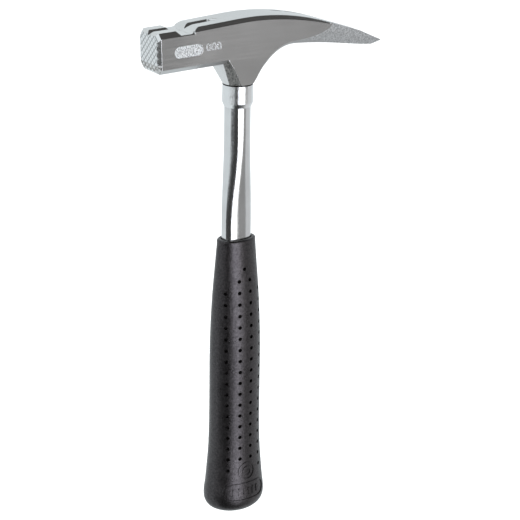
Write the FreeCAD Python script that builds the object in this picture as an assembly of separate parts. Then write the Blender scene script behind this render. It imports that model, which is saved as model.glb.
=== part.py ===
"""Steel roofing hammer: forged head on a tubular steel shaft with a soft grip.

The origin is the centre of the small flat under the butt, +Z runs up the shaft,
the striking face looks towards -X, the spike points towards +X, and Y runs
across the head from cheek to cheek. All sizes are in millimetres.
"""
import FreeCAD, Part
import math
import os

from FreeCAD import Vector

# ---- driving dimensions ------------------------------------------------------
# striking pole: an octagon whose axis droops a little towards the face
HEAD_HALF_WIDTH = 11.8
POLE_FACE_X = -61.0
POLE_AXIS_Z = 309.5
POLE_HALF_HEIGHT = 12.1
POLE_SLOPE = 1.54               # degrees
POLE_CHAMFER = 3.0
POLE_LENGTH = 62.0
FACE_BEVEL = 2.1

# top line behind the notch: straight, round over the crest, straight, tip
BODY_START_X = -36.5
CREST = (4.5, 325.1)
CREST_RADIUS = 165.0
CREST_REAR_ANGLE = 3.5          # degrees, rising from the pole
CREST_SPIKE_ANGLE = 18.5        # degrees, falling to the spike
TOP_CHAMFER = 2.4               # fades out towards the ground spike
TOP_CHAMFER_END_X = 61.0
TOP_CHAMFER_FADE = 2.5
TOP_CHAMFER_STEP = 5.0
GRIND_BEND_X = 85.0
TIP = (105.0, 298.2)

# underside, from the neck round the throat and along the spike
UNDERSIDE = [
    (5.0, 284.0),
    (7.6, 289.0),
    (13.5, 296.5),
    (20.6, 302.4),
    (29.5, 305.7),
    (38.0, 305.6),
    (66.0, 301.7),
    (97.5, 296.3),
]
UNDERSIDE_CHAMFER = 1.6
BODY_FRONT_X = -2.0

# ground facets of the spike
FACET_TOP = (59.7, 314.6)       # where the facet leaves the cheek, at the top
FACET_BOTTOM = (32.6, 307.7)    # and at the bottom
FACET_CROWN_RADIUS = 26.0
FACET_START_X = 31.0            # nothing nearer the neck is ground
FACET_SLAB = (50.0, 30.0, 118.0)  # stock outside the crown, cut away
FACET_SLAB_BEHIND = 40.0
FACET_SLAB_DEPTH = 4.0

# milled striking face: two crossing sets of V-grooves
MILL_PITCH = 2.8
MILL_DEPTH = 0.6
MILL_HALF = 0.75
MILL_OVERRUN = 0.2              # how far the cutter starts in front of the face

# nail holder in the top of the pole
NAIL_GROOVE_HALF = 2.7
NAIL_GROOVE_DEPTH = 2.5
NAIL_GROOVE_FRONT_LENGTH = 24.0
NAIL_GROOVE_REAR_X = -40.0
NAIL_GROOVE_END_X = -20.5
NAIL_GROOVE_OVERRUN = 1.5
NOTCH_FRONT = [(-50.4, 324.4), (-45.6, 319.6)]
NOTCH_HOLLOW = [(-39.4, 319.75), (-38.0, 320.0), (-36.9, 320.8)]
NOTCH_ROUND = [(-36.9, 320.8), (-35.2, 322.2), (-32.4, 323.3)]
NOTCH_ABOVE_Z = 330.0

# nail magnet, let into the top behind the end of the groove
MAGNET_X = -18.0
MAGNET_R = 2.3
MAGNET_GAP = 0.2
MAGNET_LENGTH = 5.0
MAGNET_TOP_Z = 324.0

# neck: flat front face between two flat chamfers, widening upwards; each pair
# of values is for the bottom and the top
NECK_BOTTOM_Z = 284.0
NECK_TOP_Z = 303.0
NECK_FRONT_X = (-8.45, -17.6)
NECK_SIDE_X = (-0.75, -15.0)
NECK_FRONT_HALF = (4.1, 9.8)
NECK_TAPER = [(10.7, 290.5), (11.5, 296.0), (11.8, 300.5)]  # half width and height
NECK_FLARE_Z = 286.0            # and the corners are turned off below this
NECK_FLARE_R = 12.6
BOSS_TOP_Z = 294.0              # round boss behind the neck, round the socket

# cheek marks: a sunk plate with slanting ribs, and three small upright rings
PLATE_CENTRE = (-40.8, 309.9)
PLATE_HALF_LENGTH = 9.5
PLATE_HALF_HEIGHT = 3.5
PLATE_DEPTH = 0.45
PLATE_RIBS = 7
RIB_WIDTH = 0.9
RIB_HEIGHT = 3.8
RIB_BELOW_CHEEK = 0.12
RIB_SLANT = 25.0                # degrees
RING_FIRST = (-27.7, 310.4)
RING_PITCH = 3.6
RING_HALF_HEIGHT = 2.3
RING_HALF_WIDTH = 1.45
RING_BAND = 0.75

# shaft: round at the head, flattened inside the grip
TUBE_R = 8.0
TUBE_WALL = 1.5
TUBE_TOP_Z = 310.0
TUBE_BOTTOM_Z = 22.0
OVAL_HALF = (9.6, 5.8)
OVAL_SQUARENESS = 2.5           # 2 is a plain ellipse, more is flatter sided
OVAL_POINTS = 32
ROUND_DOWN_TO_Z = 252.0
OVAL_FROM_Z = 196.0
TUBE_STEPS = 16

# collar sleeve, tapered down to the tube
COLLAR_R = 9.4
COLLAR_BOTTOM_Z = 272.4
COLLAR_TAPER = 2.8
COLLAR_LIP = 0.25
COLLAR_REBATE = (0.8, 0.5)      # depth and height of the dark joint under the head
COLLAR_EDGE = 0.2

# plugs inside the two ends of the tube
TOP_PLUG_BOTTOM_Z = 268.0
TOP_PLUG_LEAD = 1.5
END_PLUG_DEPTH = 16.0
END_PLUG_FLANGE = 2.5

# grip: height, half axis along X, half axis along Y
GRIP_SECTIONS = [
    (0.0, 7.4, 5.9),
    (2.2, 12.9, 10.3),
    (5.0, 17.7, 14.1),
    (8.4, 19.8, 15.8),
    (12.5, 20.4, 16.3),
    (20.0, 19.7, 15.7),
    (30.0, 18.7, 14.9),
    (42.0, 17.7, 14.05),
    (60.0, 17.05, 13.5),
    (90.0, 16.9, 13.4),
    (120.0, 16.7, 13.2),
    (135.0, 16.2, 12.6),
    (150.0, 15.4, 11.7),
    (165.0, 14.3, 10.4),
    (178.0, 13.3, 9.3),
    (186.0, 12.8, 8.7),
]
MOUTH_Z = 186.0
MOUTH_ROUND = 1.2
MOUTH_GAP = 0.5
MOUTH_GAP_DEPTH = 5.0

# perforations of the grip
HOLE_R = 1.2
HOLE_DEPTH = 3.0
HOLE_PITCH = 7.48
HOLE_ROWS = 17
OUTER_TOP_Z = 152.9
OUTER_ANGLES = (51.0, 38.5)     # top and bottom row, degrees from the cheek side
INNER_ANGLES = (15.2, 12.9)

# raised marks near the butt, on both cheek sides
MARK_HEIGHT = 0.45
MARK_RIM = 0.9
ROUND_MARK = (0.7, 31.6)
ROUND_MARK_R = 6.2
ROUND_MARK_INNER_R = 3.3
OVAL_MARK = (0.0, 17.6)
OVAL_MARK_HALF = (15.2, 6.0)
OVAL_MARK_RIBS = 6
OVAL_RIB_HALF = (2.6, 0.8)
OVAL_RIB_PITCH = 3.5

SPAN = 60.0                     # longer than any section it has to cross
Y_AXIS = Vector(0, 1, 0)
Z_AXIS = Vector(0, 0, 1)
ORIGIN = Vector(0, 0, 0)


# ---- helpers -----------------------------------------------------------------
def save(shape, name):
    if not shape.isValid():
        raise ValueError(name + " is not valid")
    os.makedirs("parts", exist_ok=True)
    shape.exportStep("parts/" + name + ".step")
    print(name, len(shape.Solids), "solid, volume", round(shape.Volume, 1))


def side(point, y=0.0):
    """Point of the side view, placed at the given Y."""
    return Vector(point[0], y, point[1])


def line(start, end):
    return Part.LineSegment(side(start), side(end)).toShape()


def arc(start, middle, end):
    return Part.Arc(side(start), side(middle), side(end)).toShape()


def across(edges, half_width):
    """Prism of a closed side-view outline, from cheek to cheek."""
    face = outline_face(edges)
    face.translate(Vector(0, -half_width, 0))
    return face.extrude(Vector(0, 2 * half_width, 0))


def closed(points):
    return Part.makePolygon(list(points) + [points[0]])


def outline_face(edges):
    return Part.Face(Part.Wire(edges))


def prism(points, direction):
    return Part.Face(closed(points)).extrude(direction)


def mirrored(shape):
    return shape.mirror(ORIGIN, Y_AXIS)


def ellipse_wire(z, half_x, half_y):
    edge = Part.Ellipse(ORIGIN, half_x, half_y).toShape()
    edge.translate(Vector(0, 0, z))
    return Part.Wire(edge)


def loft(sections):
    return Part.makeLoft([ellipse_wire(*s) for s in sections], True, False)


def cylinder(radius, bottom_z, top_z, x=0.0):
    return Part.makeCylinder(radius, top_z - bottom_z, Vector(x, 0, bottom_z))


def stadium(centre, half_length, half_height):
    """Closed round-ended outline in the side view."""
    x, z = centre
    flat = half_length - half_height
    ends = [(x - flat, z + half_height), (x + flat, z + half_height),
            (x + flat, z - half_height), (x - flat, z - half_height)]
    return [
        line(ends[0], ends[1]),
        arc(ends[1], (x + half_length, z), ends[2]),
        line(ends[2], ends[3]),
        arc(ends[3], (x - half_length, z), ends[0]),
    ]


# ---- head --------------------------------------------------------------------
def on_pole(shape):
    """Move a shape from the pole's own frame to its drooping place."""
    shape.rotate(ORIGIN, Y_AXIS, -POLE_SLOPE)
    shape.translate(Vector(POLE_FACE_X, 0, POLE_AXIS_Z))
    return shape


def octagon(x, inset):
    """Octagonal section of the pole, moved in by inset all round."""
    w = HEAD_HALF_WIDTH - inset
    h = POLE_HALF_HEIGHT - inset
    c = POLE_CHAMFER
    corners = [(-w, c - h), (c - w, -h), (w - c, -h), (w, c - h),
               (w, h - c), (w - c, h), (c - w, h), (-w, h - c)]
    return [Vector(x, y, z) for y, z in corners]


def milling():
    """V-grooves of the striking face, in the pole's own frame."""
    reach = HEAD_HALF_WIDTH + POLE_HALF_HEIGHT
    count = int(reach * 0.75 / MILL_PITCH)
    cutters = []
    for number in range(-count, count + 1):
        z = number * MILL_PITCH
        half = MILL_HALF * (1 + MILL_OVERRUN / MILL_DEPTH)
        section = [Vector(-MILL_OVERRUN, -reach, z - half),
                   Vector(MILL_DEPTH, -reach, z),
                   Vector(-MILL_OVERRUN, -reach, z + half)]
        groove = prism(section, Vector(0, 2 * reach, 0))
        for angle in (45, -45):
            cutters.append(groove.rotated(ORIGIN, Vector(1, 0, 0), angle))
    return Part.makeCompound(cutters)


def pole_block():
    """Striking pole with its bevelled, milled end, running into the neck."""
    rest = prism(octagon(FACE_BEVEL, 0), Vector(POLE_LENGTH - FACE_BEVEL, 0, 0))
    wires = [closed(octagon(0, FACE_BEVEL)), closed(octagon(FACE_BEVEL, 0))]
    nose = Part.makeLoft(wires, True, True)
    pole = rest.fuse(nose).removeSplitter()
    return on_pole(pole.cut(milling()))


def crest_point(angle):
    """Point of the crest arc, by its slope in degrees."""
    turn = math.radians(angle)
    x = CREST[0] - CREST_RADIUS * math.sin(turn)
    return (x, CREST[1] - CREST_RADIUS * (1 - math.cos(turn)))


def beyond(point, slope, x):
    """Point at x on the straight line through point with that slope."""
    return (x, point[1] + (x - point[0]) * math.tan(math.radians(slope)))


def body_block():
    """Middle of the head and the spike, with bevelled long edges."""
    rear = crest_point(CREST_REAR_ANGLE)
    front = crest_point(-CREST_SPIKE_ANGLE)
    start = beyond(rear, CREST_REAR_ANGLE, BODY_START_X)
    bend = beyond(front, -CREST_SPIKE_ANGLE, GRIND_BEND_X)
    below = [(BODY_FRONT_X, NECK_BOTTOM_Z), (BODY_FRONT_X, 302.0), (BODY_START_X, 305.0)]
    curve = Part.BSplineCurve()
    curve.interpolate([side(p) for p in UNDERSIDE])
    edges = [
        line(start, rear),
        arc(rear, CREST, front),
        line(front, bend),
        line(bend, TIP),
        line(TIP, UNDERSIDE[-1]),
        curve.toShape(),
        line(UNDERSIDE[0], below[0]),
        line(below[0], below[1]),
        line(below[1], below[2]),
        line(below[2], start),
    ]
    block = across(edges, HEAD_HALF_WIDTH)
    under = [e for e in block.Edges if is_underside_edge(e)]
    return block.makeChamfer(UNDERSIDE_CHAMFER, under)


def is_underside_edge(edge):
    """True for the two cheek edges of the curve under the spike."""
    box = edge.BoundBox
    on_cheek = box.YLength < 0.01 and abs(abs(box.YMin) - HEAD_HALF_WIDTH) < 0.01
    return on_cheek and box.XMax > 90 and box.XLength > 60


def top_height(x):
    """Height of the top line at x, on the rear straight, the crest or the spike."""
    rear = crest_point(CREST_REAR_ANGLE)
    front = crest_point(-CREST_SPIKE_ANGLE)
    if x < rear[0]:
        return beyond(rear, CREST_REAR_ANGLE, x)[1]
    if x > front[0]:
        return beyond(front, -CREST_SPIKE_ANGLE, x)[1]
    return CREST[1] - CREST_RADIUS + math.sqrt(CREST_RADIUS ** 2 - (x - CREST[0]) ** 2)


def top_chamfer():
    """Material taken off the near top edge, fading out towards the spike."""
    w = HEAD_HALF_WIDTH
    first = BODY_START_X - TOP_CHAMFER_STEP
    count = int((TOP_CHAMFER_END_X - first) / TOP_CHAMFER_STEP)
    sections = []
    for number in range(count + 1):
        x = first + number * TOP_CHAMFER_STEP
        fade = 1 - (max(x, 0) / TOP_CHAMFER_END_X) ** TOP_CHAMFER_FADE
        leg = TOP_CHAMFER * math.sqrt(fade)
        z = top_height(x)
        sections.append(closed([Vector(x, -w - 1, z - leg - 1),
                                Vector(x, leg + 1 - w, z + 1),
                                Vector(x, -w - 1, z + 1)]))
    return Part.makeLoft(sections, True, True)


def neck_block():
    """Front of the neck: a flat face between two flats, widening upwards."""
    sections = []
    for z, x_front, x_side, half in zip((NECK_BOTTOM_Z, NECK_TOP_Z),
                                        NECK_FRONT_X, NECK_SIDE_X, NECK_FRONT_HALF):
        w = HEAD_HALF_WIDTH
        corners = [(0.0, -w), (x_side, -w), (x_front, -half),
                   (x_front, half), (x_side, w), (0.0, w)]
        sections.append(closed([Vector(x, y, z) for x, y in corners]))
    return Part.makeLoft(sections, True, True)


def neck_turning():
    """Material outside the cone that turns the neck in to the collar."""
    ring = [(COLLAR_R, NECK_BOTTOM_Z), (NECK_FLARE_R, NECK_FLARE_Z),
            (SPAN, NECK_FLARE_Z), (SPAN, NECK_BOTTOM_Z - 1), (COLLAR_R, NECK_BOTTOM_Z - 1)]
    return Part.Face(closed([side(p) for p in ring])).revolve(ORIGIN, Z_AXIS, 360)


def neck_taper():
    """Material outside the near cheek where it draws in to the collar."""
    low = NECK_BOTTOM_Z - 1
    outside = HEAD_HALF_WIDTH + 1
    profile = [(COLLAR_R, low), (COLLAR_R, NECK_BOTTOM_Z)] + NECK_TAPER
    profile += [(outside, NECK_TAPER[-1][1]), (outside, low)]
    return prism([Vector(-SPAN, -y, z) for y, z in profile], Vector(2 * SPAN, 0, 0))


def notch():
    """Cross notch for the nail head, hollow and then rounded behind."""
    above_front = (NOTCH_FRONT[0][0], NOTCH_ABOVE_Z)
    above_rear = (NOTCH_ROUND[-1][0], NOTCH_ABOVE_Z)
    edges = [
        line(NOTCH_FRONT[0], NOTCH_FRONT[1]),
        line(NOTCH_FRONT[1], NOTCH_HOLLOW[0]),
        arc(*NOTCH_HOLLOW),
        arc(*NOTCH_ROUND),
        line(NOTCH_ROUND[-1], above_rear),
        line(above_rear, above_front),
        line(above_front, NOTCH_FRONT[0]),
    ]
    return across(edges, SPAN)


def nail_groove():
    """V-groove from the striking face to the magnet."""
    extra = NAIL_GROOVE_OVERRUN
    half = NAIL_GROOVE_HALF * (1 + extra / NAIL_GROOVE_DEPTH)
    along_pole = []
    for y, z in ((-half, extra), (0, -NAIL_GROOVE_DEPTH), (half, extra)):
        along_pole.append(Vector(-1, y, POLE_HALF_HEIGHT + z))
    front = on_pole(prism(along_pole, Vector(NAIL_GROOVE_FRONT_LENGTH, 0, 0)))
    start = (NAIL_GROOVE_REAR_X, top_height(NAIL_GROOVE_REAR_X))
    stop = beyond(start, CREST_REAR_ANGLE, NAIL_GROOVE_END_X)
    section = [Vector(start[0], p.y, start[1] + p.z - POLE_HALF_HEIGHT) for p in along_pole]
    rear = prism(section, Vector(stop[0] - start[0], 0, stop[1] - start[1]))
    return front.fuse(rear)


def ground_facet():
    """Material outside the crowned ground facet of the near cheek."""
    w = HEAD_HALF_WIDTH
    top = side(FACET_TOP, -w)
    bottom = side(FACET_BOTTOM, -w)
    tip = side(TIP)
    middle = (top + bottom) * 0.5
    along = (tip - middle).normalize()
    outward = (bottom - top).cross(tip - top).normalize()
    if outward.y > 0:
        outward = outward * -1
    crown = (top - middle).cross(along).Length ** 2 / (2 * FACET_CROWN_RADIUS)
    behind = along * FACET_SLAB_BEHIND
    axis_point = middle + outward * (crown - FACET_CROWN_RADIUS) - behind * 1.1
    solid = Part.makeCylinder(FACET_CROWN_RADIUS, FACET_SLAB[2] * 1.2, axis_point, along)
    slab = Part.makeBox(*FACET_SLAB)
    slab.translate(Vector(-FACET_SLAB[0] / 2, 0, 0))
    upright = along.cross(outward)
    turn = FreeCAD.Rotation(upright, outward, along, "ZYX")
    corner = middle - outward * FACET_SLAB_DEPTH - behind
    slab.Placement = FreeCAD.Placement(corner, turn) * slab.Placement
    spike_only = Part.makeBox(SPAN * 2, SPAN, SPAN * 2, Vector(FACET_START_X, -SPAN, TIP[1] - SPAN))
    return slab.cut(solid).common(spike_only)


def sunk_mark(edges):
    """Pocket of the cheek marks' depth with that outline, in the near cheek."""
    face = outline_face(edges)
    face.translate(Vector(0, -HEAD_HALF_WIDTH - 1, 0))
    return face.extrude(Vector(0, 1 + PLATE_DEPTH, 0))


def cheek_marks():
    """Sunk plate with slanting ribs, and three upright rings, on the near cheek."""
    plate = sunk_mark(stadium(PLATE_CENTRE, PLATE_HALF_LENGTH, PLATE_HALF_HEIGHT))
    reach = PLATE_HALF_LENGTH - PLATE_HALF_HEIGHT
    ribs = []
    for number in range(PLATE_RIBS):
        x = PLATE_CENTRE[0] + reach * (2 * number / (PLATE_RIBS - 1) - 1)
        rib = Part.makeBox(RIB_WIDTH, PLATE_DEPTH, RIB_HEIGHT)
        rib.translate(Vector(x - RIB_WIDTH / 2, RIB_BELOW_CHEEK - HEAD_HALF_WIDTH,
                             PLATE_CENTRE[1] - RIB_HEIGHT / 2))
        ribs.append(rib.rotated(side((x, PLATE_CENTRE[1])), Y_AXIS, RIB_SLANT))
    sunk = [plate.cut(Part.makeCompound(ribs))]
    for number in range(3):
        centre = (RING_FIRST[0] + number * RING_PITCH, RING_FIRST[1])
        outer = sunk_mark(stadium(centre, RING_HALF_HEIGHT, RING_HALF_WIDTH))
        inner = sunk_mark(stadium(centre, RING_HALF_HEIGHT - RING_BAND,
                                  RING_HALF_WIDTH - RING_BAND))
        sunk.append(outer.cut(inner).rotated(side(centre), Y_AXIS, 90))
    marks = Part.makeCompound(sunk)
    return marks.rotated(side(PLATE_CENTRE), Y_AXIS, -POLE_SLOPE)


def hammer_head():
    boss = cylinder(COLLAR_R, NECK_BOTTOM_Z, BOSS_TOP_Z)
    chamfer = top_chamfer()
    taper = neck_taper()
    body = body_block().cut([chamfer, mirrored(chamfer)])
    head = pole_block().fuse([neck_block(), body, boss]).removeSplitter()
    head = head.cut([taper, mirrored(taper)])
    head = head.cut(neck_turning())
    head = head.cut(notch())
    head = head.cut(nail_groove())
    pocket_r = MAGNET_R + MAGNET_GAP
    head = head.cut(cylinder(pocket_r, MAGNET_TOP_Z - MAGNET_LENGTH, NOTCH_ABOVE_Z, MAGNET_X))
    facet = ground_facet()
    head = head.cut(facet)
    head = head.cut(mirrored(facet))
    head = head.cut(cylinder(TUBE_R, NECK_BOTTOM_Z - 1, TUBE_TOP_Z))
    head = head.cut(cheek_marks())
    return head


def nail_magnet():
    return cylinder(MAGNET_R, MAGNET_TOP_Z - MAGNET_LENGTH, MAGNET_TOP_Z, MAGNET_X)


# ---- shaft -------------------------------------------------------------------
def oval_wire(z, half_x, half_y, squareness):
    """Closed smooth section with flatter sides than an ellipse."""
    curve = Part.BSplineCurve()
    points = []
    for number in range(OVAL_POINTS):
        turn = 2 * math.pi * number / OVAL_POINTS
        x = abs(math.cos(turn)) ** (2 / squareness) * half_x
        y = abs(math.sin(turn)) ** (2 / squareness) * half_y
        points.append(Vector(math.copysign(x, math.cos(turn)),
                             math.copysign(y, math.sin(turn)), z))
    curve.interpolate(points, PeriodicFlag=True)
    return Part.Wire(curve.toShape())


def oval_prism(bottom_z, top_z, offset):
    """Upright solid with the flattened section of the tube, grown by offset."""
    a, b = OVAL_HALF
    wire = oval_wire(bottom_z, a + offset, b + offset, OVAL_SQUARENESS)
    return Part.Face(wire).extrude(Vector(0, 0, top_z - bottom_z))


def tube_solid(offset, bottom_z=TUBE_BOTTOM_Z):
    """Solid tube body: flattened below, then turning round, and round above."""
    a, b = OVAL_HALF
    wires = [oval_wire(bottom_z, a + offset, b + offset, OVAL_SQUARENESS)]
    for number in range(TUBE_STEPS + 1):
        part = number / TUBE_STEPS
        ease = part * part * (3 - 2 * part)
        z = OVAL_FROM_Z + part * (ROUND_DOWN_TO_Z - OVAL_FROM_Z)
        half_x = a + ease * (TUBE_R - a) + offset
        half_y = b + ease * (TUBE_R - b) + offset
        squareness = OVAL_SQUARENESS + ease * (2 - OVAL_SQUARENESS)
        wires.append(oval_wire(z, half_x, half_y, squareness))
    wires.append(oval_wire(TUBE_TOP_Z, TUBE_R + offset, TUBE_R + offset, 2))
    return Part.makeLoft(wires, True, True)


def shaft_tube():
    return tube_solid(0).cut(tube_solid(-TUBE_WALL))


def collar_sleeve():
    """Sleeve round the tube just under the head, tapered at its lower end."""
    depth, height = COLLAR_REBATE
    shoulder_z = NECK_BOTTOM_Z - height
    outline = [
        (TUBE_R, NECK_BOTTOM_Z),
        (COLLAR_R - depth, NECK_BOTTOM_Z),
        (COLLAR_R - depth, shoulder_z),
        (COLLAR_R - COLLAR_EDGE, shoulder_z),
        (COLLAR_R, shoulder_z - COLLAR_EDGE),
        (COLLAR_R, COLLAR_BOTTOM_Z),
        (TUBE_R + COLLAR_LIP, COLLAR_BOTTOM_Z - COLLAR_TAPER),
        (TUBE_R, COLLAR_BOTTOM_Z - COLLAR_TAPER),
    ]
    face = Part.Face(closed([side(p) for p in outline]))
    return face.revolve(ORIGIN, Z_AXIS, 360)


def expander_plug():
    """Solid plug that backs the tube where the socket and collar grip it."""
    bore = TUBE_R - TUBE_WALL
    body = cylinder(bore, TOP_PLUG_BOTTOM_Z, TUBE_TOP_Z)
    edges = [e for e in body.Edges if abs(e.BoundBox.ZMax - TOP_PLUG_BOTTOM_Z) < 0.01]
    return body.makeChamfer(TOP_PLUG_LEAD, edges)


def tube_end_plug():
    """Flanged plug that closes the lower end of the tube."""
    shank = oval_prism(TUBE_BOTTOM_Z, TUBE_BOTTOM_Z + END_PLUG_DEPTH, -TUBE_WALL)
    flange = oval_prism(TUBE_BOTTOM_Z - END_PLUG_FLANGE, TUBE_BOTTOM_Z, 0)
    return shank.fuse(flange)


# ---- grip --------------------------------------------------------------------
def grip_outer():
    body = loft(GRIP_SECTIONS)
    rim = [e for e in body.Edges if e.BoundBox.ZMin > MOUTH_Z - 0.01]
    return body.makeFillet(MOUTH_ROUND, rim)


def grip_cavity():
    """Room for the tube and its end plug, with a small gap at the mouth."""
    room = tube_solid(0, TUBE_BOTTOM_Z - END_PLUG_FLANGE)
    return room.fuse(oval_prism(MOUTH_Z - MOUTH_GAP_DEPTH, MOUTH_Z + 1, MOUTH_GAP))


def half_axes(z):
    """Half axes of the grip at a height, read between the sections."""
    for low, high in zip(GRIP_SECTIONS, GRIP_SECTIONS[1:]):
        if low[0] <= z <= high[0]:
            part = (z - low[0]) / (high[0] - low[0])
            return [low[i] + part * (high[i] - low[i]) for i in (1, 2)]
    raise ValueError("height outside the grip")


def perforation(z, angle):
    """Blind round hole square to the side of the grip."""
    a, b = half_axes(z)
    turn = math.radians(angle)
    point = Vector(a * math.sin(turn), -b * math.cos(turn), z)
    inward = Vector(-math.sin(turn) / a, math.cos(turn) / b, 0).normalize()
    return Part.makeCylinder(HOLE_R, HOLE_DEPTH + 2, point - inward * 2, inward)


def perforations():
    holes = [perforation(OUTER_TOP_Z + 2 * HOLE_PITCH, 0)]
    for row in range(HOLE_ROWS):
        part = row / (HOLE_ROWS - 1)
        outer, inner = (top + part * (bottom - top)
                        for top, bottom in (OUTER_ANGLES, INNER_ANGLES))
        z = OUTER_TOP_Z - row * HOLE_PITCH
        for turn in (-1, 1):
            holes.append(perforation(z, turn * outer))
            holes.append(perforation(z + HOLE_PITCH, turn * inner))
    return holes + [mirrored(hole) for hole in holes]


def ring_band(centre, half_length, half_height):
    """Stadium-shaped band across the grip."""
    outer = across(stadium(centre, half_length, half_height), SPAN)
    inner = stadium(centre, half_length - MARK_RIM, half_height - MARK_RIM)
    return outer.cut(across(inner, SPAN))


def raised_marks():
    """Generic rings, oval rim and upright ribs, a little proud of the grip."""
    skin = loft([(z, a + MARK_HEIGHT, b + MARK_HEIGHT) for z, a, b in GRIP_SECTIONS])
    almost = 0.99
    bands = [
        ring_band(ROUND_MARK, ROUND_MARK_R, ROUND_MARK_R * almost),
        ring_band(ROUND_MARK, ROUND_MARK_INNER_R, ROUND_MARK_INNER_R * almost),
        ring_band(OVAL_MARK, *OVAL_MARK_HALF),
    ]
    for number in range(OVAL_MARK_RIBS):
        x = OVAL_MARK[0] + (number - (OVAL_MARK_RIBS - 1) / 2) * OVAL_RIB_PITCH
        centre = (x, OVAL_MARK[1])
        rib = across(stadium(centre, *OVAL_RIB_HALF), SPAN)
        bands.append(rib.rotated(side(centre), Y_AXIS, 90))
    return skin.common(Part.makeCompound(bands))


def grip_sleeve():
    body = grip_outer().fuse(raised_marks())
    body = body.cut(grip_cavity())
    return body.cut(perforations())


for name, make in {
    "hammer_head": hammer_head,
    "nail_magnet": nail_magnet,
    "collar_sleeve": collar_sleeve,
    "shaft_tube": shaft_tube,
    "expander_plug": expander_plug,
    "tube_end_plug": tube_end_plug,
    "grip_sleeve": grip_sleeve,
}.items():
    save(make(), name)
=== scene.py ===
"""Looks of the steel roofing hammer: materials, fine mesh work, floor, light and camera."""
import math

import bpy
from mathutils import Matrix, Vector


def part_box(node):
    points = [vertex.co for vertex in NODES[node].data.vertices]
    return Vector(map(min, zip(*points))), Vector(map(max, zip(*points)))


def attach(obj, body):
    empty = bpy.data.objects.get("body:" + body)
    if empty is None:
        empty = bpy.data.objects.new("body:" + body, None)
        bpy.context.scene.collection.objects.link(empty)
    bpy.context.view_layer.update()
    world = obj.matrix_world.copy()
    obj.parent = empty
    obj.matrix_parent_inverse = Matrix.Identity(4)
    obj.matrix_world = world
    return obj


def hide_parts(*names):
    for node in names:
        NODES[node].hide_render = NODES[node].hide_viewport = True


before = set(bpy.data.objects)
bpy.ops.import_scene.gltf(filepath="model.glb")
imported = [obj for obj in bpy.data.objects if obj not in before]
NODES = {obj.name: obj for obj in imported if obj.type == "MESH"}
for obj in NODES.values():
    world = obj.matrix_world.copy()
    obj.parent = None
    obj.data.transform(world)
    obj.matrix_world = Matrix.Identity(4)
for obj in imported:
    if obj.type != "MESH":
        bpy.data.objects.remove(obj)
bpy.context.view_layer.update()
MM = 0.001

# ---- camera ------------------------------------------------------------------
CAMERA_PLACE = (-0.5513, -0.8703, 0.5481)
CAMERA_AIM = (0.0179, 0.0, 0.1674)
CAMERA_ROLL = math.radians(0.9)
CAMERA_LENS = 122.6


def make_camera():
    data = bpy.data.cameras.new("photo_camera")
    data.lens = CAMERA_LENS
    data.sensor_width = 36.0
    data.clip_start = 0.01
    data.clip_end = 50.0
    camera = bpy.data.objects.new("photo_camera", data)
    bpy.context.scene.collection.objects.link(camera)
    bpy.context.scene.camera = camera
    view = Vector(CAMERA_AIM) - Vector(CAMERA_PLACE)
    turn = view.to_track_quat("-Z", "Y").to_matrix() @ Matrix.Rotation(CAMERA_ROLL, 3, "Z")
    camera.matrix_world = Matrix.Translation(CAMERA_PLACE) @ turn.to_4x4()


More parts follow.
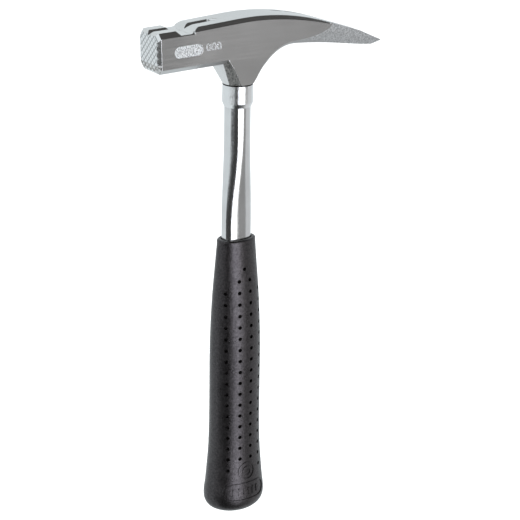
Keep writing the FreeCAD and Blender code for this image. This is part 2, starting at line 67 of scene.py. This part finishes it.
# ---- node helpers ------------------------------------------------------------
class Graph:
    """A node tree with short calls for the nodes that the materials use."""

    def __init__(self, tree):
        self.tree = tree
        tree.nodes.clear()

    def node(self, kind, **settings):
        made = self.tree.nodes.new(kind)
        for name, value in settings.items():
            setattr(made, name, value)
        return made

    def feed(self, socket, value):
        if isinstance(value, bpy.types.NodeSocket):
            self.tree.links.new(value, socket)
        elif value is not None:
            socket.default_value = value

    def math(self, operation, a, b=None, clamp=False):
        made = self.node("ShaderNodeMath", operation=operation, use_clamp=clamp)
        self.feed(made.inputs[0], a)
        self.feed(made.inputs[1], b)
        return made.outputs[0]

    def between(self, value, low, high):
        """0 at low, 1 at high, smooth in between."""
        made = self.node("ShaderNodeMapRange", interpolation_type="SMOOTHSTEP")
        self.feed(made.inputs["Value"], value)
        self.feed(made.inputs["From Min"], low)
        self.feed(made.inputs["From Max"], high)
        return made.outputs["Result"]

    def spread(self, value, low, high, to_low, to_high):
        made = self.node("ShaderNodeMapRange")
        self.feed(made.inputs["Value"], value)
        self.feed(made.inputs["From Min"], low)
        self.feed(made.inputs["From Max"], high)
        self.feed(made.inputs["To Min"], to_low)
        self.feed(made.inputs["To Max"], to_high)
        return made.outputs["Result"]

    def vary(self, noise, low, high):
        """A noise turned into a value that runs from low to high."""
        return self.spread(noise, 0.3, 0.7, low, high)

    def blotches(self, noise, low=0.35, high=0.65):
        """A noise with its contrast raised: 0 up to low, 1 from high."""
        return self.spread(noise, low, high, 0.0, 1.0)

    def all_of(self, *masks):
        """Where every mask is 1: their product."""
        result = masks[0]
        for mask in masks[1:]:
            result = self.math("MULTIPLY", result, mask)
        return result

    def mix(self, factor, a, b):
        made = self.node("ShaderNodeMix", data_type="RGBA")
        self.feed(made.inputs["Factor"], factor)
        self.feed(made.inputs["A"], a)
        self.feed(made.inputs["B"], b)
        return made.outputs["Result"]

    def mix_value(self, factor, a, b):
        made = self.node("ShaderNodeMix", data_type="FLOAT")
        self.feed(made.inputs[0], factor)
        self.feed(made.inputs[2], a)
        self.feed(made.inputs[3], b)
        return made.outputs[0]

    def scaled(self, vector, scale):
        made = self.node("ShaderNodeMapping")
        self.feed(made.inputs["Vector"], vector)
        self.feed(made.inputs["Scale"], scale)
        return made.outputs["Vector"]

    def noise(self, vector, scale, detail=3.0, roughness=0.5):
        made = self.node("ShaderNodeTexNoise")
        self.feed(made.inputs["Vector"], vector)
        self.feed(made.inputs["Scale"], scale)
        self.feed(made.inputs["Detail"], detail)
        self.feed(made.inputs["Roughness"], roughness)
        return made.outputs["Fac"]

    def bump(self, height, distance, strength=1.0, normal=None):
        made = self.node("ShaderNodeBump")
        self.feed(made.inputs["Height"], height)
        self.feed(made.inputs["Distance"], distance)
        self.feed(made.inputs["Strength"], strength)
        self.feed(made.inputs["Normal"], normal)
        return made.outputs["Normal"]


def material(name):
    """A material with its graph, its shader and the place on the object, in metres."""
    made = bpy.data.materials.new(name)
    made.use_nodes = True
    graph = Graph(made.node_tree)
    shader = graph.node("ShaderNodeBsdfPrincipled")
    output = graph.node("ShaderNodeOutputMaterial")
    graph.tree.links.new(shader.outputs[0], output.inputs[0])
    place = graph.node("ShaderNodeTexCoord").outputs["Object"]
    return made, graph, shader, place


def grey(level, warmth=0.0):
    """A grey, redder for a positive warmth and bluer for a negative one."""
    return (level * (1 + warmth), level, level * (1 - warmth), 1.0)


# ---- materials ---------------------------------------------------------------
# Noise scales are features per metre.
def split(g, vector):
    """The three parts of a vector."""
    axes = g.node("ShaderNodeSeparateXYZ")
    g.feed(axes.inputs[0], vector)
    return axes.outputs


def rounded(g, radius):
    """Normal with the sharp edges softened by that radius."""
    made = g.node("ShaderNodeBevel", samples=6)
    made.inputs["Radius"].default_value = radius
    return made.outputs[0]


def window(g, value, span, soft):
    """1 inside a span, 0 outside, with soft borders."""
    low, high = span
    return g.all_of(g.between(value, low - soft, low + soft),
                    g.between(value, high + soft, high - soft))


def reach(g, value, pair):
    """0 at the first of a pair of millimetres, 1 at the second."""
    return g.between(value, pair[0] * MM, pair[1] * MM)


HEAD_LOW, HEAD_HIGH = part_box("hammer_head")
# the pole droops, so the middle of its face lies behind the face's foremost point
POLE_DROOP = math.tan(math.radians(1.54))
FACE_MIDDLE = (0.269, 15.6)
# Millimetres behind the foremost point of the face, or below the top of the head,
# or out from the middle, as (mask is 0 here, mask is 1 here).
FACETS_FROM = (92.47, 92.87)
GROUND_END_FROM = (122.27, 123.07)
FACE_WITHIN = (2.27, 1.77)
# the bottoms of the milled face's grooves are painted darker, as painted shade
PIT_DEEP = (0.22, 0.55)
PIT_NOT_BEVEL = (0.85, 0.70)
PIT_ABOVE_BEVEL = (25.7, 24.5)
NECK_BELOW = (21.6, 23.1)
# painted shade: the cheeks darker towards the face, the top darker towards the spike, the pole's
# underside darker
CHEEK_SHADE_TOWARDS_FACE = (41.3, 6.3)
CROWN_TOWARDS_SPIKE = (16.3, 81.3)
POLE_UNDERSIDE = (30.1, 29.1)
POLE_UNDERSIDE_FROM = (2.3, 3.3)
WORN_FROM = (85.3, 91.3)
WORN_INNER_EDGE = (3.5, 5.0)
WORN_OUTER_EDGE = (9.0, 8.2)
CORNER_FROM = (25.3, 31.3)
# the area of the sunk marks, and how far in from the cheek they begin
MARKS_ALONG = (9.77 * MM, 43.77 * MM)
MARKS_BELOW = (9.6 * MM, 21.1 * MM)
MARKS_SOFT = 0.2 * MM
MARKS_SUNK = (0.08, 0.14)
# parts of the normal: sideways, forwards and upwards, as (0 here, 1 here)
OFF_CHEEK = (0.9975, 0.994)
ON_CHEEK = (0.985, 0.995)
FACET_SIDEWAYS = (0.80, 0.86)
MARKS_SIDEWAYS = (0.6, 0.8)
NECK_SIDEWAYS = (0.35, 0.45)
FACE_FORWARDS = (-0.735, -0.755)
NECK_FORWARDS = (-0.35, -0.45)
CROWN_UPWARDS = (0.80, 0.90)
WORN_UPWARDS = (0.80, 0.88)
DOWNWARDS = (-0.40, -0.50)


def head_masks(g, place):
    """Where each finish of the head and each patch of painted shade lies, by name."""
    x, y, z = split(g, place)
    forwards, sideways, upwards = split(g, g.node("ShaderNodeNewGeometry").outputs["True Normal"])
    sideways = g.math("ABSOLUTE", sideways)
    behind = g.math("SUBTRACT", x, HEAD_LOW[0])
    below = g.math("SUBTRACT", HEAD_HIGH[2], z)
    inwards = g.math("SUBTRACT", HEAD_HIGH[1], g.math("ABSOLUTE", y))

    off_cheek = g.between(sideways, *OFF_CHEEK)
    facet = g.all_of(reach(g, behind, FACETS_FROM), off_cheek,
                     g.between(sideways, *FACET_SIDEWAYS))
    end = g.all_of(reach(g, behind, GROUND_END_FROM), off_cheek)
    droop = g.math("MULTIPLY", g.math("SUBTRACT", FACE_MIDDLE[1] * MM, below), POLE_DROOP)
    depth = g.math("ADD", g.math("SUBTRACT", behind, FACE_MIDDLE[0] * MM), droop)
    worn = g.between(g.noise(place, 160.0, 3.0, 0.7), 0.40, 0.48)
    down = g.between(upwards, *DOWNWARDS)
    return {
        "ground": g.math("MAXIMUM", facet, end),
        "face": g.all_of(reach(g, behind, FACE_WITHIN), g.between(forwards, *FACE_FORWARDS)),
        # painted shade at the bottoms of the milled face's grooves
        "pits": g.all_of(reach(g, depth, PIT_DEEP), reach(g, below, PIT_ABOVE_BEVEL),
                         reach(g, depth, PIT_NOT_BEVEL)),
        "sunk": g.all_of(reach(g, inwards, MARKS_SUNK),
                         window(g, behind, MARKS_ALONG, MARKS_SOFT),
                         window(g, below, MARKS_BELOW, MARKS_SOFT),
                         g.between(sideways, *MARKS_SIDEWAYS)),
        "neck": g.all_of(reach(g, below, NECK_BELOW), g.between(forwards, *NECK_FORWARDS),
                         g.between(sideways, *NECK_SIDEWAYS)),
        # painted shade: where the cheeks, the top and the pole's underside are painted darker
        "cheek_painted_shade": g.all_of(g.between(sideways, *ON_CHEEK),
                            reach(g, behind, CHEEK_SHADE_TOWARDS_FACE)),
        "crown": g.all_of(g.between(upwards, *CROWN_UPWARDS),
                          reach(g, behind, CROWN_TOWARDS_SPIKE)),
        "under": g.all_of(down, reach(g, below, POLE_UNDERSIDE),
                          reach(g, behind, POLE_UNDERSIDE_FROM)),
        "nick": g.all_of(reach(g, y, WORN_INNER_EDGE), reach(g, y, WORN_OUTER_EDGE),
                         g.between(upwards, *WORN_UPWARDS), reach(g, behind, WORN_FROM), worn),
        "corner": g.all_of(down, reach(g, behind, CORNER_FROM)),
    }


def head_steel():
    """Polished forging with a ground spike, a milled face and sunk marks."""
    made, g, shader, place = material("head_steel")
    mask = head_masks(g, place)
    scale_marks = g.noise(g.scaled(place, (1.0, 1.0, 0.5)), 1000.0, 3.0, 0.7)
    fine = g.noise(place, 2600.0, 3.0, 0.6)
    grain = g.noise(g.scaled(place, (1.0, 1.0, 1.6)), 900.0, 4.0, 0.7)
    brushed = g.noise(g.scaled(place, (45.0, 45.0, 900.0)), 1.0, 4.0, 0.6)
    cloud = g.noise(place, 38.0, 3.0, 0.5)
    pitted = g.noise(place, 1500.0, 4.0, 0.75)

    colour = g.mix(g.blotches(cloud), grey(0.76, 0.004), grey(0.83, 0.002))
    teeth = g.mix(fine, grey(0.90, -0.01), grey(0.99, -0.01))
    layers = {
        # painted shade: the cheeks, the top and the pole's underside painted darker
        "cheek_painted_shade": grey(0.60),
        "crown": grey(0.68, -0.004),
        "under": grey(0.60),
        "nick": grey(0.14),
        "ground": g.mix(g.blotches(grain), grey(0.38, -0.012), grey(0.92, -0.010)),
        # the milled face: pale teeth, with painted shade at the bottoms of its grooves
        "face": g.mix(mask["pits"], teeth, grey(0.44, -0.01)),
        "sunk": g.mix(g.blotches(pitted, 0.42, 0.50), grey(0.12, -0.02), grey(0.97, -0.02)),
        "neck": g.mix(g.blotches(scale_marks), grey(0.24, 0.03), grey(0.66, 0.03)),
    }
    for place_name, layer in layers.items():
        colour = g.mix(mask[place_name], colour, layer)
    g.feed(shader.inputs["Base Color"], colour)
    g.feed(shader.inputs["Metallic"], g.mix_value(mask["sunk"], 1.0, 0.25))

    rough = g.vary(brushed, 0.10, 0.17)
    layers = {"ground": g.vary(grain, 0.42, 0.60), "face": 0.34, "sunk": 0.5, "neck": 0.2,
              "corner": 0.5}
    for place_name, layer in layers.items():
        rough = g.mix_value(mask[place_name], rough, layer)
    g.feed(shader.inputs["Roughness"], rough)

    height = g.math("MULTIPLY", brushed, 0.10)
    layers = {"ground": grain, "sunk": g.math("MULTIPLY", pitted, 2.0),
              "neck": g.math("MULTIPLY", scale_marks, 5.0)}
    for place_name, layer in layers.items():
        height = g.mix_value(mask[place_name], height, layer)
    softened = rounded(g, 0.35 * MM)
    g.feed(shader.inputs["Normal"], g.bump(height, 0.06 * MM, 0.5, softened))
    return made


# softness of the edge of the joint's grime and painted shade
GRIME_AND_SHADE_SOFT = 0.05 * MM


def plated_steel(name, tones, gloss, streaks, grit, dark_above=None):
    """Bright plated surface: darkest and lightest tone, lowest and highest roughness,
    height of the drawing lines and of the specks; darkened above a height if one is given, as
    grime and painted shade in the joint."""
    made, g, shader, place = material(name)
    lines = g.noise(g.scaled(place, (900.0, 900.0, 30.0)), 1.0, 3.0, 0.6)
    specks = g.noise(g.scaled(place, (1.0, 1.0, 0.35)), 1000.0, 4.0, 0.7)
    cloud = g.noise(place, 60.0, 3.0, 0.5)
    dark, light = (grey(level, -0.007) for level in tones)
    tone = g.mix(g.blotches(cloud), dark, light)
    dull = g.between(specks, 0.66, 0.76)
    colour = g.mix(dull, tone, grey(0.66, 0.01))
    rough = g.mix_value(dull, g.vary(lines, *gloss), 0.26)
    # grime and painted shade in the joint: darker and rougher above that height
    if dark_above is not None:
        grime_and_shade = g.between(split(g, place)[2], dark_above - GRIME_AND_SHADE_SOFT, dark_above)
        colour = g.mix(grime_and_shade, colour, grey(0.02, 0.2))
        rough = g.mix_value(grime_and_shade, rough, 0.7)
    g.feed(shader.inputs["Base Color"], colour)
    g.feed(shader.inputs["Metallic"], 1.0)
    g.feed(shader.inputs["Roughness"], rough)
    height = g.math("ADD", g.math("MULTIPLY", lines, streaks), g.math("MULTIPLY", specks, grit))
    g.feed(shader.inputs["Normal"], g.bump(height, 0.03 * MM, 0.6))
    return made


def magnet_metal():
    """Bright sintered magnet, slightly grainy."""
    made, g, shader, place = material("magnet_metal")
    cloud = g.noise(place, 900.0, 3.0, 0.6)
    g.feed(shader.inputs["Base Color"], g.mix(cloud, grey(0.72), grey(0.92)))
    g.feed(shader.inputs["Metallic"], 1.0)
    g.feed(shader.inputs["Roughness"], g.vary(cloud, 0.14, 0.26))
    g.feed(shader.inputs["Normal"], g.bump(cloud, 0.03 * MM, 0.4))
    return made


def turned_steel():
    """Plain turned steel of the plug inside the shaft."""
    made, g, shader, place = material("turned_steel")
    rings = g.noise(g.scaled(place, (1.0, 1.0, 40.0)), 60.0, 3.0, 0.6)
    g.feed(shader.inputs["Base Color"], g.mix(rings, grey(0.40), grey(0.55)))
    g.feed(shader.inputs["Metallic"], 1.0)
    g.feed(shader.inputs["Roughness"], g.vary(rings, 0.3, 0.45))
    g.feed(shader.inputs["Normal"], g.bump(rings, 0.04 * MM, 0.4))
    return made


def plug_plastic():
    """Black moulded plastic."""
    made, g, shader, place = material("plug_plastic")
    grain = g.noise(place, 1800.0, 3.0, 0.6)
    g.feed(shader.inputs["Base Color"], g.mix(grain, grey(0.03), grey(0.06)))
    g.feed(shader.inputs["Roughness"], g.vary(grain, 0.45, 0.6))
    g.feed(shader.inputs["Normal"], g.bump(grain, 0.03 * MM, 0.4))
    return made


def grip_rubber():
    """Black moulded grip: satin, very fine grain, slightly mottled gloss."""
    made, g, shader, place = material("grip_rubber")
    grain = g.noise(place, 1150.0, 4.0, 0.7)
    mottle = g.noise(place, 120.0, 3.0, 0.55)
    scuff = g.between(g.noise(g.scaled(place, (90.0, 90.0, 18.0)), 1.0, 4.0, 0.7), 0.60, 0.75)
    base = g.mix(g.blotches(mottle), grey(0.003, 0.03), grey(0.006, 0.02))
    g.feed(shader.inputs["Base Color"], g.mix(scuff, base, grey(0.012, 0.02)))
    rough = g.vary(mottle, 0.26, 0.33)
    g.feed(shader.inputs["Roughness"], g.mix_value(scuff, rough, 0.46))
    g.feed(shader.inputs["IOR"], 1.65)
    leather = g.noise(place, 800.0, 3.0, 0.6)
    g.feed(shader.inputs["Specular IOR Level"], g.spread(leather, 0.36, 0.64, 0.36, 0.66))
    g.feed(shader.inputs["Specular Tint"], (1.0, 0.925, 0.97, 1.0))
    g.feed(shader.inputs["Normal"], g.bump(grain, 0.18 * MM, 0.6))
    return made


# ---- surroundings ------------------------------------------------------------
WORLD_PALE = (0.73, 0.78, 0.80, 1.0)
WORLD_BRIGHT = (0.93, 0.97, 1.0, 1.0)
# level, from and to in degrees round from the camera, from and to in height
# (-1 straight down, 1 straight up), softness of the sides and of the ends
WORLD_PATCHES = [
    # light grey and mid grey to the right, for the cheek and the right side of the shaft
    (grey(0.64, -0.02), (80, 125), (-1.2, 0.3), 4.0, 0.1),
    (grey(0.32), (45, 80), (-1.2, 0.35), 3.0, 0.1),
    # dark stripe of the shaft, wider in the middle heights
    (grey(0.055), (-58, -26), (-0.50, -0.257), 3.0, 0.01),
    (grey(0.055), (-45, -26), (-1.2, -0.50), 3.0, 0.01),
    (grey(0.055), (-28, 20), (-1.2, 0.40), 2.0, 0.1),
    # dark below, under the collar's taper
    (grey(0.04), (-45, 60), (-1.2, -0.80), 4.0, 0.03),
    # dark for the bevel beside the face, pale above it for the collar
    (grey(0.035), (-42, -20), (-0.250, -0.19), 3.0, 0.006),
    (WORLD_BRIGHT, (-56, -18), (-0.222, 0.30), 3.0, 0.006),
    # dark above, for the chamfers along the top of the head
    (grey(0.070, 0.02), (-20, 124), (0.44, 1.2), 5.0, 0.04),
]
# the bright strip and its brighter core narrow below a height, about their middle
STRIP = (grey(1.6), (7, 59), (-0.68, 0.40), 1.5, 0.05)
STRIP_CORE = ((3.5, 3.6, 3.9, 1.0), (12, 44), (-0.62, 0.10), 5.0, 0.05)
STRIP_MIDDLE = 42
STRIP_FULL_DOWN_TO = -0.264
STRIP_NARROWING = 5.9
# low enough for the hammer's shadow to fall away from it
FLOOR_LEVEL = -0.06
FLOOR_HALF = 8.0


def make_floor():
    mesh = bpy.data.meshes.new("floor")
    half = FLOOR_HALF
    corners = ((-half, -half), (half, -half), (half, half), (-half, half))
    mesh.from_pydata([(x, y, FLOOR_LEVEL) for x, y in corners], [], [(0, 1, 2, 3)])
    floor = bpy.data.objects.new("floor", mesh)
    bpy.context.scene.collection.objects.link(floor)
    made, g, shader, place = material("pale_floor")
    cloud = g.noise(place, 3.0, 2.0, 0.5)
    g.feed(shader.inputs["Base Color"], g.mix(cloud, grey(0.88), grey(0.91)))
    g.feed(shader.inputs["Roughness"], 0.9)
    mesh.materials.append(made)
    floor.visible_glossy = False


def make_world():
    """Soft studio all round, as levels over turn (degrees from the camera) and height."""
    world = bpy.data.worlds.new("studio")
    bpy.context.scene.world = world
    world.use_nodes = True
    g = Graph(world.node_tree)
    output = g.node("ShaderNodeOutputWorld")
    background = g.node("ShaderNodeBackground")
    g.tree.links.new(background.outputs[0], output.inputs[0])
    axes = g.node("ShaderNodeSeparateXYZ")
    g.feed(axes.inputs[0], g.node("ShaderNodeTexCoord").outputs["Generated"])
    x, y, height = axes.outputs
    home = math.atan2(CAMERA_PLACE[1], CAMERA_PLACE[0])
    turn = g.math("SUBTRACT", g.math("ARCTAN2", y, x), home)
    wrapped = g.node("ShaderNodeMath", operation="WRAP")
    g.feed(wrapped.inputs[0], turn)
    g.feed(wrapped.inputs[1], math.pi)
    g.feed(wrapped.inputs[2], -math.pi)
    degrees = g.math("MULTIPLY", wrapped.outputs[0], 180 / math.pi)

    def patch(around, turn_range, height_range, turn_soft, height_soft):
        """1 inside a patch of the sky, 0 outside, with soft borders."""
        return g.all_of(window(g, around, turn_range, turn_soft),
                        window(g, height, height_range, height_soft))

    level = WORLD_PALE
    for amount, *shape in WORLD_PATCHES:
        level = g.mix(patch(degrees, *shape), level, amount)
    below = g.math("MAXIMUM", g.math("SUBTRACT", STRIP_FULL_DOWN_TO, height), 0.0)
    widening = g.math("MULTIPLY_ADD", below, STRIP_NARROWING)
    widening.node.inputs[2].default_value = 1.0
    aside = g.math("MULTIPLY", g.math("SUBTRACT", degrees, STRIP_MIDDLE), widening)
    around = g.math("ADD", aside, STRIP_MIDDLE)
    for amount, *shape in (STRIP, STRIP_CORE):
        level = g.mix(patch(around, *shape), level, amount)
    g.feed(background.inputs["Color"], level)
    return world


def area_light(name, place, aim, size, power):
    data = bpy.data.lights.new(name, "AREA")
    data.energy = power
    data.size = size
    light = bpy.data.objects.new(name, data)
    light.location = place
    light.rotation_euler = (Vector(aim) - Vector(place)).to_track_quat("-Z", "Y").to_euler()
    light.visible_glossy = False
    bpy.context.scene.collection.objects.link(light)


# ---- finer pieces --------------------------------------------------------------
TUBE_RINGS = 120
TUBE_SIDES = 128
COLLAR_SIDES = 160
# shape of the flattened tube: half sizes, flatness (2 is an ellipse), wall
TUBE_RADIUS = 8.0 * MM
TUBE_WALL = 1.5 * MM
OVAL_HALF = (9.6 * MM, 5.8 * MM)
OVAL_FLATNESS = 2.5
OVAL_UP_TO = 196.0 * MM
ROUND_FROM = 252.0 * MM
TUBE_SHARP_DEGREES = 40
# the collar: rebate of the joint, lean of the side, rounded edge, taper and lip
JOINT_DEPTH = 0.8 * MM
JOINT_HEIGHT = 0.6 * MM
COLLAR_LEAN = 0.20 * MM
COLLAR_EDGE = 0.2 * MM
COLLAR_EDGE_BULGE = 0.3 * COLLAR_EDGE
COLLAR_TAPER = 2.8 * MM
COLLAR_LIP = 0.25 * MM
COLLAR_SHARP_DEGREES = 15
# how far down from the collar's top the joint is darkened, as grime and painted shade
GRIME_AND_SHADE_DOWN_TO = 0.85 * MM


def solid_of(name, rings):
    """Smooth closed mesh through rings of points; the last ring joins up with the first."""
    sides = len(rings[0])
    points = [point for ring in rings for point in ring]
    faces = []
    for row in range(len(rings)):
        here = row * sides
        above = (row + 1) % len(rings) * sides
        for step in range(sides):
            after = (step + 1) % sides
            faces.append((here + step, here + after, above + after, above + step))
    mesh = bpy.data.meshes.new(name)
    mesh.from_pydata(points, [], faces)
    mesh.polygons.foreach_set("use_smooth", [True] * len(faces))
    piece = bpy.data.objects.new(name, mesh)
    bpy.context.scene.collection.objects.link(piece)
    return piece


def sharpen(piece, angle):
    """Split the shading at edges that turn more than the angle, in degrees."""
    piece.data.set_sharp_from_angle(angle=math.radians(angle))


def tube_ring(z, inward):
    """One section of the tube, flattened below and round above."""
    part = min(max((z - OVAL_UP_TO) / (ROUND_FROM - OVAL_UP_TO), 0.0), 1.0)
    ease = part * part * (3 - 2 * part)
    half = [oval + ease * (TUBE_RADIUS - oval) - inward for oval in OVAL_HALF]
    power = 2 / (OVAL_FLATNESS + ease * (2 - OVAL_FLATNESS))
    ring = []
    for step in range(TUBE_SIDES):
        turn = 2 * math.pi * step / TUBE_SIDES
        along, aside = math.cos(turn), math.sin(turn)
        ring.append((math.copysign(abs(along) ** power, along) * half[0],
                     math.copysign(abs(aside) ** power, aside) * half[1], z))
    return ring


def make_tube():
    low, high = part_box("shaft_tube")
    heights = [low[2] + (high[2] - low[2]) * row / TUBE_RINGS for row in range(TUBE_RINGS + 1)]
    outer = [tube_ring(z, 0.0) for z in heights]
    inner = [tube_ring(z, TUBE_WALL) for z in reversed(heights)]
    tube = solid_of("tube_body", outer + inner)
    sharpen(tube, TUBE_SHARP_DEGREES)
    return tube


def make_collar():
    """Lathe of the collar, with its taper, lip and the joint under the head."""
    low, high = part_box("collar_sleeve")
    bottom, top = low[2], high[2]
    outer = high[0]
    shoulder = top - JOINT_HEIGHT
    crest = outer - COLLAR_LEAN
    profile = [
        (TUBE_RADIUS, top),
        (outer - JOINT_DEPTH, top),
        (outer - JOINT_DEPTH, shoulder),
        (crest - COLLAR_EDGE, shoulder),
        (crest - COLLAR_EDGE_BULGE, shoulder - COLLAR_EDGE_BULGE),
        (crest, shoulder - COLLAR_EDGE),
        (outer, bottom + COLLAR_TAPER),
        (TUBE_RADIUS + COLLAR_LIP, bottom),
        (TUBE_RADIUS, bottom),
    ]
    rings = []
    for radius, z in profile:
        turns = [2 * math.pi * step / COLLAR_SIDES for step in range(COLLAR_SIDES)]
        rings.append([(radius * math.cos(t), radius * math.sin(t), z) for t in turns])
    collar = solid_of("collar_body", rings)
    sharpen(collar, COLLAR_SHARP_DEGREES)
    return collar


def finish_piece(piece, finish, node_name):
    """Dress a finer piece and let it stand in for its node."""
    piece.data.materials.append(finish)
    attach(piece, "root")
    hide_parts(node_name)


# ---- build -------------------------------------------------------------------
make_camera()
make_floor()
make_world()
area_light("overhead", place=(0.3, 0.5, 2.6), aim=(0, 0, 0), size=3.0, power=110.0)

TUBE_FINISH = plated_steel("plated_tube", tones=(0.74, 0.80), gloss=(0.08, 0.13),
                           streaks=0.5, grit=1.8)
COLLAR_FINISH = plated_steel("plated_collar", tones=(0.84, 0.90), gloss=(0.15, 0.22),
                             streaks=3.5, grit=5.0,
                             dark_above=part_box("collar_sleeve")[1][2] - GRIME_AND_SHADE_DOWN_TO)
FINISHES = {
    "hammer_head": head_steel(),
    "nail_magnet": magnet_metal(),
    "collar_sleeve": COLLAR_FINISH,
    "shaft_tube": TUBE_FINISH,
    "expander_plug": turned_steel(),
    "tube_end_plug": plug_plastic(),
    "grip_sleeve": grip_rubber(),
}
for node_name, finish in FINISHES.items():
    cad_mesh = NODES[node_name].data
    cad_mesh.materials.clear()
    cad_mesh.materials.append(finish)

finish_piece(make_tube(), TUBE_FINISH, "shaft_tube")
finish_piece(make_collar(), COLLAR_FINISH, "collar_sleeve")

bpy.context.scene.view_settings.view_transform = "Standard"
